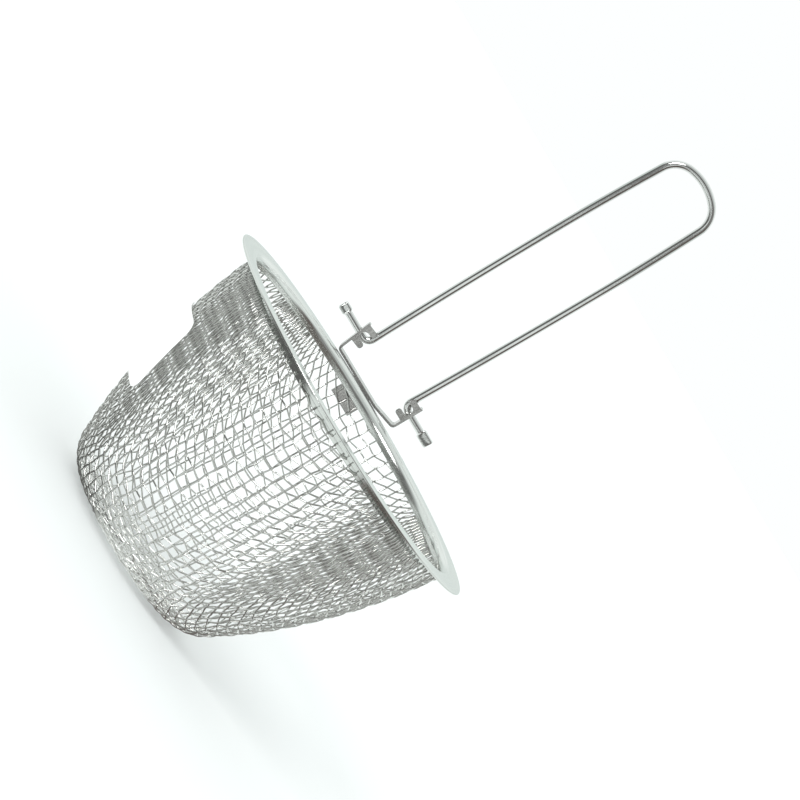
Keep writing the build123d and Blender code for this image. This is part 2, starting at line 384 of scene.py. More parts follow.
def smooth_noise(index, seed):
    """Random values at the crossings, blended between them by a smoothstep along each wire."""
    count = len(index)
    crossings = count // STEPS_PER_PITCH + 3
    values = np.random.RandomState(seed).normal(size=(crossings, crossings))
    place = (index - index[0]) / STEPS_PER_PITCH
    low = place.astype(int)
    part = ease(place - low)
    rows = values[low] * (1 - part)[:, None] + values[low + 1] * part[:, None]
    return rows[:, low] * (1 - part) + rows[:, low + 1] * part


net_index, net_along, net_angle = whole_net()
net_angle = net_angle + CLOTH_TURN
slip_up = np.clip(smooth_noise(net_index, SLIP_SEED), -SLIP_LIMIT, SLIP_LIMIT) * SLIP
slip_round = np.clip(smooth_noise(net_index, SLIP_SEED + 1), -SLIP_LIMIT, SLIP_LIMIT) * SLIP
open_radius = np.maximum(on_profile(np.nan_to_num(net_along))[0], FLAT_MIDDLE)
net_along = np.abs(net_along + slip_up)
net_angle = net_angle + slip_round / open_radius
print("net samples:", net_along.shape)

# %% [markdown]
# ## The wires
#
# Each wire is a round tube through its crossings. In plain weave it passes over one wire and under
# the next, so its middle line swings half a wire's thickness to each side of the middle surface,
# as a cosine. A curve object with a bevel would do it too, but arrays keep one mesh of a known
# size for each set of wires. Every tube is cut at the cloth's edge, and its end is closed.

# %% Wire tubes
TUBE_SIDES = 6
VISIBLE_WIRE = 0.54 * MM      # wires pressed into each other where they cross
CRIMP = WIRE - VISIBLE_WIRE / 2
OUT_OF_REACH = 9.0            # a distance, in metres, for places that the net does not cover


def wire_set(name, along, angle, over):
    """All wires of one direction as tubes: rows of the arrays are wires, columns run along them.

    The middle line is the surface point plus the surface normal times over, which swings from
    plus to minus half a wire. A ring of points stands square to the line at every sample.
    """
    crossing_rows = np.arange(along.shape[0])[(net_index % STEPS_PER_PITCH) == 0]
    along, angle, over = along[crossing_rows], angle[crossing_rows], over[crossing_rows]
    inside = np.nan_to_num(along, nan=OUT_OF_REACH) <= CLOTH_EDGE
    # the first sample past the edge is drawn back to it, so that every wire ends on the cut
    for direction in (1, -1):
        near_in = np.roll(inside, direction, axis=1)
        near_along, near_angle = (np.roll(a, direction, axis=1) for a in (along, angle))
        last = ~inside & near_in & np.isfinite(along)
        part = np.where(last, (CLOTH_EDGE - near_along) / (along - near_along), 0)
        swing = np.mod(angle - near_angle + pi, 2 * pi) - pi
        along = np.where(last, CLOTH_EDGE, along)
        angle = np.where(last, near_angle + part * swing, angle)
        inside = inside | last
    kept = inside.sum(axis=1) > 3
    along, angle, over, inside = along[kept], angle[kept], over[kept], inside[kept]
    safe_along = np.where(inside, along, 0)
    safe_angle = np.where(inside, angle, 0)
    points, radius, slope_r, slope_z = surface_points(safe_along, safe_angle)
    normal = np.stack([slope_z * np.cos(safe_angle), slope_z * np.sin(safe_angle), -slope_r], -1)
    line = points + normal * over[..., None]
    ahead = np.where(np.roll(inside, -1, 1)[..., None], np.roll(line, -1, 1), line)
    behind = np.where(np.roll(inside, 1, 1)[..., None], np.roll(line, 1, 1), line)
    tangent = ahead - behind
    tangent /= np.maximum(np.linalg.norm(tangent, axis=-1, keepdims=True), 1e-9)
    side = np.cross(tangent, normal)
    side /= np.maximum(np.linalg.norm(side, axis=-1, keepdims=True), 1e-9)
    lift = np.cross(side, tangent)
    turn = np.arange(TUBE_SIDES) * 2 * pi / TUBE_SIDES
    ring = (lift[..., None, :] * np.cos(turn)[:, None] + side[..., None, :] * np.sin(turn)[:, None])
    rings = sprung(line)[..., None, :] + ring * (VISIBLE_WIRE / 2)
    # number the rings that are kept, then join each to the next one on the same wire
    number = np.full(inside.shape, -1)
    number[inside] = np.arange(inside.sum())
    row, column = np.nonzero(inside[:, :-1] & inside[:, 1:])
    first, second = number[row, column], number[row, column + 1]
    s = np.arange(TUBE_SIDES)
    t = (s + 1) % TUBE_SIDES
    quads = np.stack([
        first[:, None] * TUBE_SIDES + s, second[:, None] * TUBE_SIDES + s,
        second[:, None] * TUBE_SIDES + t, first[:, None] * TUBE_SIDES + t,
    ], axis=-1).reshape(-1, 4)
    u = (column[:, None] + np.zeros(TUBE_SIDES)) / STEPS_PER_PITCH + row[:, None] * 7.3
    v = s[None, :] / TUBE_SIDES + np.zeros_like(u)
    du, dv = 1 / STEPS_PER_PITCH, 1 / TUBE_SIDES
    uv = np.stack([np.stack([u, v], -1), np.stack([u + du, v], -1),
                   np.stack([u + du, v + dv], -1), np.stack([u, v + dv], -1)], axis=2)
    starts = number[inside & ~np.roll(inside, 1, 1)]
    ends = number[inside & ~np.roll(inside, -1, 1)]
    caps = [k * TUBE_SIDES + s for k in starts] + [k * TUBE_SIDES + s[::-1] for k in ends]
    piece = add_piece(name, rings[inside].reshape(-1, 3), quads, uv.reshape(-1, 2), caps)
    print(name, "wires:", len(along), "faces:", len(quads) + len(caps))
    return piece


crimp = np.cos(net_index * pi / STEPS_PER_PITCH)
parity = np.where(np.mod(np.round(net_index / STEPS_PER_PITCH), 2) == 0, 1.0, -1.0)
over_wires = CRIMP * parity[:, None] * crimp[None, :]
warp = wire_set("cloth_warp_wires", net_along, net_angle, over_wires)
weft = wire_set("cloth_weft_wires", net_along.T, net_angle.T, -over_wires)
for piece in (warp, weft):
    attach(piece, "basket")
    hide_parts("wire_basket")

# %% [markdown]
# ## The rim ring
#
# The ring is one strip of sheet: a flat flange with a rounded outer edge, a tight fold, and a short
# collar that stands inside the cloth. A lathe-like sweep of its section makes every face smooth,
# so reflections run round the ring without the small flats of a tessellated CAD face.

# %% Rim ring
RIM_STEPS = 360


def arc_points(centre, radius, start, stop, count):
    """Points of an arc in the section plane, both ends kept. Angles are in degrees."""
    turn = np.radians(np.linspace(start, stop, count))
    return np.stack([centre[0] + radius * np.cos(turn), centre[1] + radius * np.sin(turn)], axis=1)


def rim_section():
    """Closed outline of the ring's section, radius against height, anticlockwise."""
    fold = (COLLAR_RADIUS + FOLD_RADIUS, RIM_TOP - FOLD_RADIUS)
    outside = COLLAR_RADIUS + RIM_SHEET
    lip = 0.2 * MM
    flange_edge = arc_points(
        (FLANGE_RADIUS - RIM_SHEET / 2, RIM_TOP - RIM_SHEET / 2), RIM_SHEET / 2, -90, 90, 11)
    over_fold = arc_points(fold, FOLD_RADIUS, 90, 180, 17)
    foot_in = arc_points((COLLAR_RADIUS + lip, COLLAR_FOOT + lip), lip, 180, 270, 4)
    foot_out = arc_points((outside - lip, COLLAR_FOOT + lip), lip, 270, 360, 4)
    under_fold = arc_points(fold, FOLD_RADIUS - RIM_SHEET, 180, 90, 13)
    flat = np.stack([np.linspace(FLANGE_RADIUS - RIM_SHEET / 2, fold[0], 6)[1:-1],
                     np.full(4, RIM_TOP)], axis=1)
    flat_under = flat[::-1] - [0, RIM_SHEET]
    return np.vstack([flange_edge, flat, over_fold, foot_in, foot_out, under_fold, flat_under])


def revolved_piece(name, section, steps):
    """A section (radius, height) turned round the axis: x = r cos t, y = r sin t, z = height."""
    turn = np.arange(steps) * 2 * pi / steps
    radius, height = section[:, 0], section[:, 1]
    points = np.stack([
        np.cos(turn)[:, None] * radius, np.sin(turn)[:, None] * radius,
        np.ones(steps)[:, None] * height,
    ], axis=-1).reshape(-1, 3)
    quads, cells = grid_quads(steps, len(section), close_rows=True, close_columns=True)
    length = np.r_[0, np.cumsum(np.hypot(*np.diff(np.vstack([section, section[:1]]), axis=0).T))]
    u, u2 = cells[:, 0] / steps, cells[:, 2] / steps
    v, v2 = length[cells[:, 1]], length[cells[:, 3]]
    uv = np.stack([np.stack([u, v], -1), np.stack([u2, v], -1),
                   np.stack([u2, v2], -1), np.stack([u, v2], -1)], axis=1)
    return add_piece(name, points, quads, uv)


rim = revolved_piece("rim_ring_sheet", rim_section(), RIM_STEPS)
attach(rim, "basket")
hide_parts("rim_ring")
print("rim faces:", len(rim.data.polygons))

# %% [markdown]
# ## The wire handle
#
# One length of round wire: a pointed loop at the top, two long legs that bow slightly outwards, two
# tight bends, and straight pins whose ends are swaged flat so that they can't slip out of the ears.
# The middle line is a chain of tangent arcs, each given by its radius and turn. The section is an
# ellipse-like ring carried along it, round on the legs and flat at the ends.

# %% Handle
HANDLE_WIRE = 2.6 * MM
PIN_HALF = 26.5 * MM
PIN_BEND = 2.4 * MM
LEG_HALF = 12.4 * MM
LEG_WIDEST = 69.65 * MM
LOWER_BOW, UPPER_BOW = 3100 * MM, 1050 * MM
UPPER_RISE = 39.0 * MM
SHOULDER, CROWN = 8.5 * MM, 17.4 * MM
HEAD_LENGTHS = (2.9 * MM, 4.5 * MM)   # the press flattened one end further than the other
HEAD_TAPER = 0.6 * MM
HEAD_HEIGHT, HEAD_THICK = 3.6 * MM, 1.7 * MM
HEAD_TILT = radians(12)       # the press did not hold the wire quite square
HEAD_ROUND = 0.7 * MM
HEAD_POWER = 4.2
HANDLE_SIDES = 28


def arc_chain(start, heading, pieces):
    """Points and headings along straight runs and tangent arcs.

    Each piece is (radius, turn, count): the heading changes by turn over count equal steps, to the
    right if turn is negative. A radius of None makes the turn value a straight length.
    """
    points, headings = [np.array(start)], [heading]
    for radius, turn, count in pieces:
        for _ in range(count):
            if radius is None:
                length, bend = turn / count, 0.0
            else:
                bend = turn / count
                length = 2 * radius * sin(abs(bend) / 2)
            middle = headings[-1] + bend / 2
            points.append(points[-1] + length * np.array([cos(middle), sin(middle)]))
            headings.append(headings[-1] + bend)
    return np.array(points), np.array(headings)


upper_lean = asin(UPPER_RISE / UPPER_BOW)
lower_lean = asin((LEG_WIDEST - PIN_BEND) / (LOWER_BOW + PIN_BEND))
shoulder_y = LEG_HALF - UPPER_BOW * (1 - cos(upper_lean))
crown_turn = asin((shoulder_y - SHOULDER * cos(upper_lean)) / (CROWN - SHOULDER))
loop_top = (PIN_Z + LEG_WIDEST + UPPER_RISE + SHOULDER * (cos(crown_turn) - sin(upper_lean))
            + CROWN * (1 - cos(crown_turn)))
half_line, half_heading = arc_chain((0, loop_top), 0.0, [
    (CROWN, -crown_turn, 16),
    (SHOULDER, -(pi / 2 - crown_turn - upper_lean), 18),
    (UPPER_BOW, -upper_lean, 12),
    (LOWER_BOW, -lower_lean, 20),
    (PIN_BEND, pi / 2 + lower_lean, 14),
])
print("loop top, mm:", round(loop_top / MM, 2), "pin height, mm:", round(half_line[-1][1] / MM, 2))

# %% [markdown]
# The flat heads are made by a press, so the wire grows wider and thinner over a short run and ends
# with slightly rounded corners. The exponent of the ring's outline rises from 2, a circle, to a
# little over 4, a rounded rectangle, while its two half sizes change.

# %% Handle mesh
def head_run(length):
    """Distance past the round wire, half thickness, half height and corner exponent."""
    grown = ease(np.linspace(0, 1, 7))
    thick = HANDLE_WIRE / 2 + (HEAD_THICK - HANDLE_WIRE) / 2 * grown
    tall = HANDLE_WIRE / 2 + (HEAD_HEIGHT - HANDLE_WIRE) / 2 * grown
    power = 2 + (HEAD_POWER - 2) * grown
    edge = np.radians([18, 36, 54, 70, 84])
    round_run = HEAD_TAPER + length - HEAD_ROUND * (1 - np.sin(edge))
    shrink = HEAD_ROUND * (1 - np.cos(edge))
    run = np.r_[HEAD_TAPER * np.linspace(0, 1, 7),
                HEAD_TAPER + (length - HEAD_ROUND) * np.linspace(0, 1, 6)[1:], round_run]
    thick = np.r_[thick, np.full(5, HEAD_THICK / 2), HEAD_THICK / 2 - shrink * 0.6]
    tall = np.r_[tall, np.full(5, HEAD_HEIGHT / 2), HEAD_HEIGHT / 2 - shrink]
    power = np.r_[power, np.full(10, HEAD_POWER)]
    return run, thick, tall, power


def half_handle(head_length):
    """Line, headings and section sizes of half the handle, from the loop's top to a head's end."""
    end_y, end_z = half_line[-1]
    pin_run = PIN_HALF - head_length - HEAD_TAPER - end_y
    straight = np.linspace(0, pin_run, 9)[1:]
    run, *section = head_run(head_length)
    pin = np.stack([end_y + straight, np.full(8, end_z)], axis=1)
    head = np.stack([end_y + pin_run + run[1:], np.full(len(run) - 1, end_z)], axis=1)
    plain = len(half_line) + 8
    round_wire = (HANDLE_WIRE / 2, HANDLE_WIRE / 2, 2.0)
    section = [np.r_[np.full(plain, w), part[1:]] for w, part in zip(round_wire, section)]
    heading = np.r_[half_heading, np.zeros(8 + len(run) - 1)]
    return np.vstack([half_line, pin, head]), heading, section


def handle_piece():
    """Ring of points carried along the handle's middle line, in the plane x = PIN_X.

    A point of the ring is the line's point plus x times a, plus the in-plane side vector times b,
    with a and b on a superellipse: |a / thick| ** power + |b / tall| ** power = 1.
    """
    line, heading, section = half_handle(HEAD_LENGTHS[0])
    other_line, other_heading, other_section = half_handle(HEAD_LENGTHS[1])
    line = np.vstack([other_line[:0:-1] * [-1, 1], line])
    heading = np.r_[-other_heading[:0:-1], heading]
    thick, tall, power = (np.r_[b[:0:-1], a] for a, b in zip(section, other_section))
    turn = np.arange(HANDLE_SIDES) * 2 * pi / HANDLE_SIDES
    c, s = np.cos(turn), np.sin(turn)
    grow = (np.abs(c)[None, :] ** power[:, None] + np.abs(s)[None, :] ** power[:, None]) ** (
        -1 / power[:, None])
    flat, upright = c * grow * thick[:, None], s * grow * tall[:, None]
    tilt = (HEAD_TILT * (power - 2) / (power.max() - 2))[:, None]
    out = flat * np.cos(tilt) - upright * np.sin(tilt)
    across = flat * np.sin(tilt) + upright * np.cos(tilt)
    side_y, side_z = -np.sin(heading), np.cos(heading)
    points = np.stack([
        PIN_X + out,
        line[:, :1] + across * side_y[:, None],
        line[:, 1:] + across * side_z[:, None],
    ], axis=-1)
    rows = len(line)
    quads, cells = grid_quads(rows, HANDLE_SIDES, close_columns=True)
    length = np.r_[0, np.cumsum(np.hypot(*np.diff(line, axis=0).T))]
    u, u2 = length[cells[:, 0]], length[cells[:, 2]]
    v, v2 = cells[:, 1] / HANDLE_SIDES, cells[:, 3] / HANDLE_SIDES
    uv = np.stack([np.stack([u, v], -1), np.stack([u2, v], -1),
                   np.stack([u2, v2], -1), np.stack([u, v2], -1)], axis=1)
    first, last = np.arange(HANDLE_SIDES), (rows - 1) * HANDLE_SIDES + np.arange(HANDLE_SIDES)
    piece = add_piece("handle_bent_wire", points.reshape(-1, 3), quads, uv, [first, last[::-1]])
    print("handle wire length, mm:", round(length[-1] / MM, 1))
    return piece


handle = handle_piece()
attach(handle, "handle")
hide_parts("wire_handle")

# %% [markdown]
# ## Shared effects for the finishes
#
# Drawn wire and pressed sheet both carry fine lines in the direction in which they were worked,
# and both are touched by hands. Each effect is a node group, built once, that puts out a mask or
# a height. The metal shader itself stays in each material.

# %% Node group helpers
def new_group(name, inputs, outputs):
    """A shader node group with named float or vector inputs and outputs."""
    group = bpy.data.node_groups.new(name, "ShaderNodeTree")
    for label, kind, value in inputs:
        socket = group.interface.new_socket(name=label, in_out="INPUT", socket_type=kind)
        if value is not None:
            socket.default_value = value
    for label, kind in outputs:
        group.interface.new_socket(name=label, in_out="OUTPUT", socket_type=kind)
    return group, group.nodes.new("NodeGroupInput"), group.nodes.new("NodeGroupOutput")


def add_node(tree, kind, **settings):
    """A node with its properties and unlinked input values set by name."""
    node = tree.nodes.new(kind)
    values = settings.pop("values", {})
    for key, value in settings.items():
        setattr(node, key, value)
    for key, value in values.items():
        node.inputs[key].default_value = value
    return node


def worked_lines():
    """Group: fine lines along the UV's first axis, from noise stretched along it."""
    group, start, end = new_group(
        "worked_lines",
        [("Vector", "NodeSocketVector", None), ("Along", "NodeSocketFloat", 1.0),
         ("Across", "NodeSocketFloat", 100.0), ("Depth", "NodeSocketFloat", 0.5)],
        [("Mask", "NodeSocketFloat"), ("Height", "NodeSocketFloat")])
    split = add_node(group, "ShaderNodeSeparateXYZ")
    along = add_node(group, "ShaderNodeMath", operation="MULTIPLY")
    across = add_node(group, "ShaderNodeMath", operation="MULTIPLY")
    join = add_node(group, "ShaderNodeCombineXYZ")
    fine = add_node(group, "ShaderNodeTexNoise", values={"Scale": 1.0, "Detail": 3.0})
    broad = add_node(group, "ShaderNodeTexNoise", values={"Scale": 0.23, "Detail": 2.0})
    both = add_node(group, "ShaderNodeMath", operation="MULTIPLY")
    height = add_node(group, "ShaderNodeMath", operation="MULTIPLY")
    links = group.links
    links.new(start.outputs["Vector"], split.inputs[0])
    links.new(split.outputs["X"], along.inputs[0])
    links.new(start.outputs["Along"], along.inputs[1])
    links.new(split.outputs["Y"], across.inputs[0])
    links.new(start.outputs["Across"], across.inputs[1])
    links.new(along.outputs[0], join.inputs["X"])
    links.new(across.outputs[0], join.inputs["Y"])
    links.new(join.outputs[0], fine.inputs["Vector"])
    links.new(join.outputs[0], broad.inputs["Vector"])
    links.new(fine.outputs[0], both.inputs[0])
    links.new(broad.outputs[0], both.inputs[1])
    links.new(both.outputs[0], end.inputs["Mask"])
    links.new(both.outputs[0], height.inputs[0])
    links.new(start.outputs["Depth"], height.inputs[1])
    links.new(height.outputs[0], end.inputs["Height"])
    return group


def handling_marks():
    """Group: soft cloudy patches where hands and washing have dulled the metal."""
    group, start, end = new_group(
        "handling_marks",
        [("Vector", "NodeSocketVector", None), ("Size", "NodeSocketFloat", 60.0),
         ("Low", "NodeSocketFloat", 0.35), ("High", "NodeSocketFloat", 0.75)],
        [("Mask", "NodeSocketFloat")])
    cloud = add_node(group, "ShaderNodeTexNoise", values={"Detail": 5.0, "Roughness": 0.6})
    soften = add_node(group, "ShaderNodeMapRange", interpolation_type="SMOOTHSTEP")
    links = group.links
    links.new(start.outputs["Vector"], cloud.inputs["Vector"])
    links.new(start.outputs["Size"], cloud.inputs["Scale"])
    links.new(cloud.outputs[0], soften.inputs["Value"])
    links.new(start.outputs["Low"], soften.inputs["From Min"])
    links.new(start.outputs["High"], soften.inputs["From Max"])
    links.new(soften.outputs[0], end.inputs["Mask"])
    return group


LINES, MARKS = worked_lines(), handling_marks()
print("groups:", LINES.name, MARKS.name)

# %% [markdown]
# ## Steel finishes
#
# All metal here is stainless steel, and the pieces differ in how they were worked: the cloth's
# wire is bright from the drawing die, the rim is polished with faint lines round it, the bracket
# is plain cold-rolled sheet, and the handle is thicker drawn wire. One function builds the shader
# from two greys, two roughness values and the line pattern's sizes.

# %% Steel material
def steel(name, dark, bright, smooth, rough, along, across, depth, mark_size, on_uv=True):
    """A metal whose colour and roughness follow the worked lines and the handling marks."""
    material = bpy.data.materials.new(name)
    material.use_nodes = True
    tree = material.node_tree
    shader = tree.nodes["Principled BSDF"]
    shader.inputs["Metallic"].default_value = 1.0
    place = add_node(tree, "ShaderNodeTexCoord")
    pattern = place.outputs["UV" if on_uv else "Object"]
    lines = add_node(tree, "ShaderNodeGroup", node_tree=LINES,
                     values={"Along": along, "Across": across, "Depth": depth})
    marks = add_node(tree, "ShaderNodeGroup", node_tree=MARKS, values={"Size": mark_size})
    colour = add_node(tree, "ShaderNodeMix", data_type="RGBA")
    colour.inputs[6].default_value = (*dark, 1)
    colour.inputs[7].default_value = (*bright, 1)
    widen = add_node(tree, "ShaderNodeMapRange",
                     values={"From Min": 0.1, "From Max": 0.4, "To Min": 0.0, "To Max": 1.0})
    rougher = add_node(tree, "ShaderNodeMapRange", values={"To Min": smooth, "To Max": rough})
    bump = add_node(tree, "ShaderNodeBump", values={"Strength": 0.35, "Distance": 0.00005})
    links = tree.links
    links.new(pattern, lines.inputs["Vector"])
    links.new(place.outputs["Object"], marks.inputs["Vector"])
    links.new(lines.outputs["Mask"], widen.inputs["Value"])
    links.new(widen.outputs[0], colour.inputs[0])
    links.new(colour.outputs[2], shader.inputs["Base Color"])
    links.new(marks.outputs["Mask"], rougher.inputs["Value"])
    links.new(rougher.outputs[0], shader.inputs["Roughness"])
    links.new(lines.outputs["Height"], bump.inputs["Height"])
    links.new(bump.outputs["Normal"], shader.inputs["Normal"])
    return material


cloth_steel = steel("cloth_wire_steel", (0.52, 0.52, 0.50), (0.76, 0.77, 0.75),
                    0.05, 0.14, 0.6, 9.0, 0.2, 90.0)
rim_steel = steel("rim_polished_steel", (0.60, 0.62, 0.60), (0.76, 0.78, 0.76),
                  0.12, 0.26, 6.0, 9000.0, 0.4, 45.0)
bracket_steel = steel("bracket_sheet_steel", (0.42, 0.41, 0.40), (0.62, 0.61, 0.60),
                      0.20, 0.34, 120.0, 4000.0, 0.6, 130.0, on_uv=False)
handle_steel = steel("handle_wire_steel", (0.62, 0.63, 0.62), (0.78, 0.79, 0.78),
                     0.08, 0.18, 30.0, 12.0, 0.15, 60.0)
for piece, finish in ((warp, cloth_steel), (weft, cloth_steel), (rim, rim_steel),
                      (handle, handle_steel)):
    piece.data.materials.append(finish)
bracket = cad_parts["handle_bracket"]
for slot in bracket.material_slots:
    slot.material = bracket_steel
print("steel finishes:", 4)

# %% [markdown]
# ## The paper label
#
# A blank white label is folded round some wires of the wall. It is a thin sheet with rounded
# corners that follows the wall and lifts a little between the wires it clings to. Its surface is
# a grid over the label's flat outline, each point laid on the wall's surface of revolution, and a
# Solidify modifier gives it its thickness.

# %% Label
LABEL_LOW, LABEL_HIGH = 30.0 * MM, 56.0 * MM
LABEL_WIDTH = 32.0 * MM
LABEL_CORNER = 4.0 * MM
LABEL_AZIMUTH = radians(99.0)
LABEL_GAP = 0.22 * MM
PAPER = 0.12 * MM


def label_piece():
    """Rounded rectangle laid on the wall: x across its width, z up, radius from the wall's arc.

    Rows run up the label. In the corner rows the width shrinks by the corner's circle.
    """
    centre_r, centre_z, arc = wall_arc()
    rows, columns = 61, 81
    bend = 1 - np.cos(np.linspace(0, pi / 2, 13))
    low = LABEL_LOW + LABEL_CORNER * bend
    middle = np.linspace(LABEL_LOW + LABEL_CORNER, LABEL_HIGH - LABEL_CORNER, rows - 24)
    high = LABEL_HIGH - LABEL_CORNER * bend[::-1]
    z = np.r_[low[:-1], middle, high[1:]]
    into = np.maximum(np.maximum(LABEL_LOW + LABEL_CORNER - z, z - LABEL_HIGH + LABEL_CORNER), 0)
    half = LABEL_WIDTH / 2 - (LABEL_CORNER - np.sqrt(
        np.maximum(LABEL_CORNER**2 - into**2, (0.04 * LABEL_CORNER) ** 2)))
    across = np.linspace(-1, 1, columns)[None, :] * half[:, None]
    z = np.broadcast_to(z[:, None], across.shape)
    ripple = (np.sin(across / (4.1 * MM)) * np.sin(z / (3.3 * MM) + 0.6)) * 0.05 * MM
    radius = centre_r + np.sqrt((arc + LABEL_GAP) ** 2 - (z - centre_z) ** 2) + ripple
    angle = LABEL_AZIMUTH + across / radius
    points = sprung(np.stack([radius * np.cos(angle), radius * np.sin(angle), z], axis=-1))
    quads, cells = grid_quads(*across.shape)
    quads = quads[:, ::-1]
    uv = np.stack([across, z], axis=-1).reshape(-1, 2)[quads]
    piece = add_piece("paper_label_sheet", points.reshape(-1, 3), quads, uv)
    thick = piece.modifiers.new("paper", "SOLIDIFY")
    thick.thickness, thick.offset = PAPER, 1.0
    return piece


label = label_piece()
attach(label, "basket")
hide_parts("paper_label")
print("label faces:", len(label.data.polygons))

# %% [markdown]
# Paper is not flat white: its fibres make a fine mottled grain, and it lets a little light
# through. A noise at fibre scale drives a bump and a very slight change of white.

# %% Paper finish
def paper(name):
    """White uncoated paper: fibre noise in colour and bump, rough and without metal."""
    material = bpy.data.materials.new(name)
    material.use_nodes = True
    tree = material.node_tree
    shader = tree.nodes["Principled BSDF"]
    shader.inputs["Roughness"].default_value = 0.75
    place = add_node(tree, "ShaderNodeTexCoord")
    fibre = add_node(tree, "ShaderNodeTexNoise", values={"Scale": 2500.0, "Detail": 4.0})
    cloud = add_node(tree, "ShaderNodeTexNoise", values={"Scale": 220.0, "Detail": 2.0})
    colour = add_node(tree, "ShaderNodeMix", data_type="RGBA")
    colour.inputs[6].default_value = (0.86, 0.87, 0.86, 1)
    colour.inputs[7].default_value = (0.93, 0.93, 0.92, 1)
    bump = add_node(tree, "ShaderNodeBump", values={"Strength": 0.25, "Distance": 0.00003})
    links = tree.links
    links.new(place.outputs["Object"], fibre.inputs["Vector"])
    links.new(place.outputs["Object"], cloud.inputs["Vector"])
    links.new(cloud.outputs[0], colour.inputs[0])
    links.new(colour.outputs[2], shader.inputs["Base Color"])
    links.new(fibre.outputs[0], bump.inputs["Height"])
    links.new(bump.outputs["Normal"], shader.inputs["Normal"])
    return material


label.data.materials.append(paper("label_paper"))
print("paper finish ready")

# %% [markdown]
# ## Table and light
#
# A white table and a white room would leave steel without any contrast, because metal shows only
# what it reflects. In a studio a bright steel object stands against white, and the side where the
# camera stands is kept darker, so that every wire gets a dark line beside a bright one. The
# Light Path node does that here: the camera and the paper see a plain white set, and reflections
# see one that is white behind the object and dim in front of it.

# %% Helpers for the set
def stage_plane(name, corners, material):
    """A flat four-cornered card or table top, as a stage piece."""
    mesh = bpy.data.meshes.new(name)
    mesh.from_pydata([tuple(c) for c in corners], [], [(0, 1, 2, 3)])
    mesh.update()
    plane = bpy.data.objects.new(name, mesh)
    bpy.context.scene.collection.objects.link(plane)
    mesh.materials.append(material)
    return plane


def smooth_step(tree, value, low, high):
    """Output of a smoothstep that is 0 where value is at low and 1 where it is at high."""
    node = add_node(tree, "ShaderNodeMapRange", interpolation_type="SMOOTHSTEP",
                    values={"From Min": low, "From Max": high})
    tree.links.new(value, node.inputs["Value"])
    return node.outputs[0]


def combine(tree, operation, first, second):
    """Output of a Math node. Each input is another node's output or a number."""
    node = add_node(tree, "ShaderNodeMath", operation=operation)
    for socket, value in zip(node.inputs, (first, second)):
        if isinstance(value, (int, float)):
            socket.default_value = value
        else:
            tree.links.new(value, socket)
    return node.outputs[0]


def mixed_colour(tree, factor, first, second):
    """Output of a colour mix. Each colour is another node's output or three numbers."""
    node = add_node(tree, "ShaderNodeMix", data_type="RGBA")
    tree.links.new(factor, node.inputs[0])
    for socket, value in ((node.inputs[6], first), (node.inputs[7], second)):
        if isinstance(value, tuple):
            socket.default_value = (*value, 1)
        else:
            tree.links.new(value, socket)
    return node.outputs[2]


print("set helpers ready")

# %% [markdown]
# The table's own colour is a faint mottled white. Seen in a reflection it is white behind the
# basket and in a wedge towards the camera, and dim to both sides, so that an upright wire shows a
# bright line between two dark ones. A dim ring crosses the wedge where the bracket, the weld tab
# and the collar look, which keeps those flat sheets darker than the wires.

# %% Table
SET_DIM = (0.15, 0.15, 0.145)
SET_BROWN = (0.15, 0.125, 0.115)
SET_WHITE = (1.04, 1.09, 1.07)
SET_LOW_SKY = (0.76, 0.83, 0.80)


def table_material():
    """Pale matt table top, with the reflected pattern mixed in for glossy rays only."""
    material = bpy.data.materials.new("pale_table")
    material.use_nodes = True
    tree = material.node_tree
    shader = tree.nodes["Principled BSDF"]
    shader.inputs["Roughness"].default_value = 1.0
    shader.inputs["Specular IOR Level"].default_value = 0.0
    place = add_node(tree, "ShaderNodeTexCoord").outputs["Object"]
    cloud = add_node(tree, "ShaderNodeTexNoise", values={"Scale": 3.0, "Detail": 3.0})
    tree.links.new(place, cloud.inputs["Vector"])
    plain = mixed_colour(tree, cloud.outputs[0], (0.845, 0.865, 0.862), (0.86, 0.88, 0.877))
    tree.links.new(plain, shader.inputs["Base Color"])
    far = add_node(tree, "ShaderNodeVectorMath", operation="LENGTH")
    unit = add_node(tree, "ShaderNodeVectorMath", operation="NORMALIZE")
    tree.links.new(place, far.inputs[0])
    tree.links.new(place, unit.inputs[0])
    split = add_node(tree, "ShaderNodeSeparateXYZ")
    tree.links.new(unit.outputs[0], split.inputs[0])
    ahead, aside = split.outputs["X"], split.outputs["Y"]
    distance = far.outputs["Value"]
    wedge = smooth_step(tree, ahead, -0.80, -0.93)
    ring = combine(tree, "MULTIPLY", smooth_step(tree, distance, 0.40, 0.55),
                   smooth_step(tree, distance, 1.05, 0.95))
    front = combine(tree, "MULTIPLY", wedge, combine(tree, "SUBTRACT", 1.0, ring))
    behind = smooth_step(tree, ahead, -0.25, 0.1)
    white = combine(tree, "MAXIMUM", front, behind)
    brown = smooth_step(tree, aside, 0.1, -0.6)
    shown = mixed_colour(tree, white, mixed_colour(tree, brown, SET_DIM, SET_BROWN), SET_WHITE)
    glow = add_node(tree, "ShaderNodeEmission")
    tree.links.new(shown, glow.inputs["Color"])
    path = add_node(tree, "ShaderNodeLightPath")
    pick = add_node(tree, "ShaderNodeMixShader")
    tree.links.new(path.outputs["Is Glossy Ray"], pick.inputs[0])
    tree.links.new(shader.outputs[0], pick.inputs[1])
    tree.links.new(glow.outputs[0], pick.inputs[2])
    tree.links.new(pick.outputs[0], tree.nodes["Material Output"].inputs["Surface"])
    return material


TABLE = 12.0
stage_plane("table_top", [(-TABLE, -TABLE, 0), (TABLE, -TABLE, 0), (TABLE, TABLE, 0),
                          (-TABLE, TABLE, 0)], table_material())
print("table side, m:", 2 * TABLE)

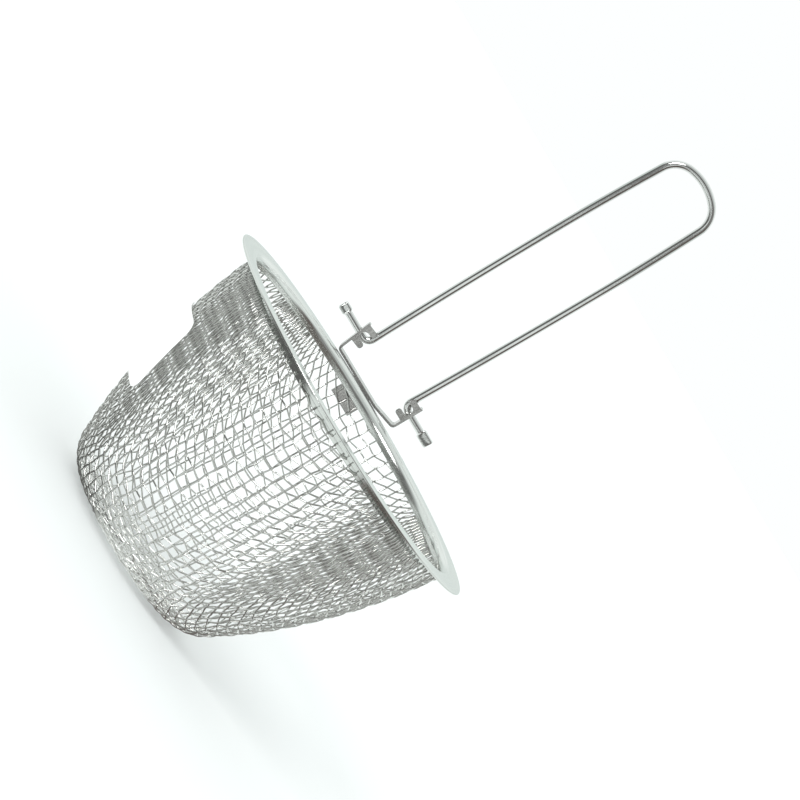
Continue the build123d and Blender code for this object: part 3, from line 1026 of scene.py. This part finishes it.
# %% [markdown]
# The room follows the same plan. Rays from the metal see white behind the object, a bright
# ceiling, and a dim wall in front with soft uneven patches, a little brown towards the right.

# %% World
ROOM_LIGHT = 1.08             # radiance that lights the table and the paper


def white_room():
    """World shader: white for the camera, even light for matt things, a dim front for metal."""
    world = bpy.data.worlds.new("white_room")
    bpy.context.scene.world = world
    world.use_nodes = True
    tree = world.node_tree
    tree.nodes.clear()
    output = add_node(tree, "ShaderNodeOutputWorld")
    seen = add_node(tree, "ShaderNodeBackground", values={"Color": (0.985, 1, 1, 1)})
    even = add_node(tree, "ShaderNodeBackground",
                    values={"Color": (0.97, 1.0, 0.995, 1), "Strength": ROOM_LIGHT})
    studio = add_node(tree, "ShaderNodeBackground")
    path = add_node(tree, "ShaderNodeLightPath")
    place = add_node(tree, "ShaderNodeTexCoord").outputs["Generated"]
    split = add_node(tree, "ShaderNodeSeparateXYZ")
    tree.links.new(place, split.inputs[0])
    ahead, aside, height = split.outputs
    patches = add_node(tree, "ShaderNodeTexNoise", values={"Scale": 2.2, "Detail": 1.0})
    tree.links.new(place, patches.inputs["Vector"])
    dim_wall = mixed_colour(tree, smooth_step(tree, aside, 0.1, -0.6), SET_DIM, SET_BROWN)
    wall = mixed_colour(tree, smooth_step(tree, patches.outputs[0], 0.48, 0.68), dim_wall,
                        (0.34, 0.35, 0.345))
    ceiling = mixed_colour(tree, smooth_step(tree, height, 0.5, 0.78), wall, (0.66, 0.69, 0.68))
    back_wall = mixed_colour(tree, smooth_step(tree, height, 0.12, 0.3), SET_LOW_SKY, SET_WHITE)
    shown = mixed_colour(tree, smooth_step(tree, ahead, -0.3, 0.1), ceiling, back_wall)
    tree.links.new(shown, studio.inputs["Color"])
    to_metal = add_node(tree, "ShaderNodeMixShader")
    to_camera = add_node(tree, "ShaderNodeMixShader")
    links = tree.links
    links.new(path.outputs["Is Glossy Ray"], to_metal.inputs[0])
    links.new(even.outputs[0], to_metal.inputs[1])
    links.new(studio.outputs[0], to_metal.inputs[2])
    links.new(path.outputs["Is Camera Ray"], to_camera.inputs[0])
    links.new(to_metal.outputs[0], to_camera.inputs[1])
    links.new(seen.outputs[0], to_camera.inputs[2])
    links.new(to_camera.outputs[0], output.inputs["Surface"])


def soft_sun(name, towards, strength, spread):
    """A sun lamp that shines from a direction, with an angle wide enough for soft shadows."""
    data = bpy.data.lights.new(name, "SUN")
    data.energy, data.angle = strength, spread
    lamp = bpy.data.objects.new(name, data)
    bpy.context.scene.collection.objects.link(lamp)
    lamp.rotation_mode = "QUATERNION"
    lamp.rotation_quaternion = (-Vector(towards)).to_track_quat("-Z", "Y")
    return lamp


white_room()
soft_sun("window_left", (-0.70, 0.50, 0.42), 1.3, radians(24))
bpy.context.scene.view_settings.view_transform = "Standard"
print("lamps:", 1)
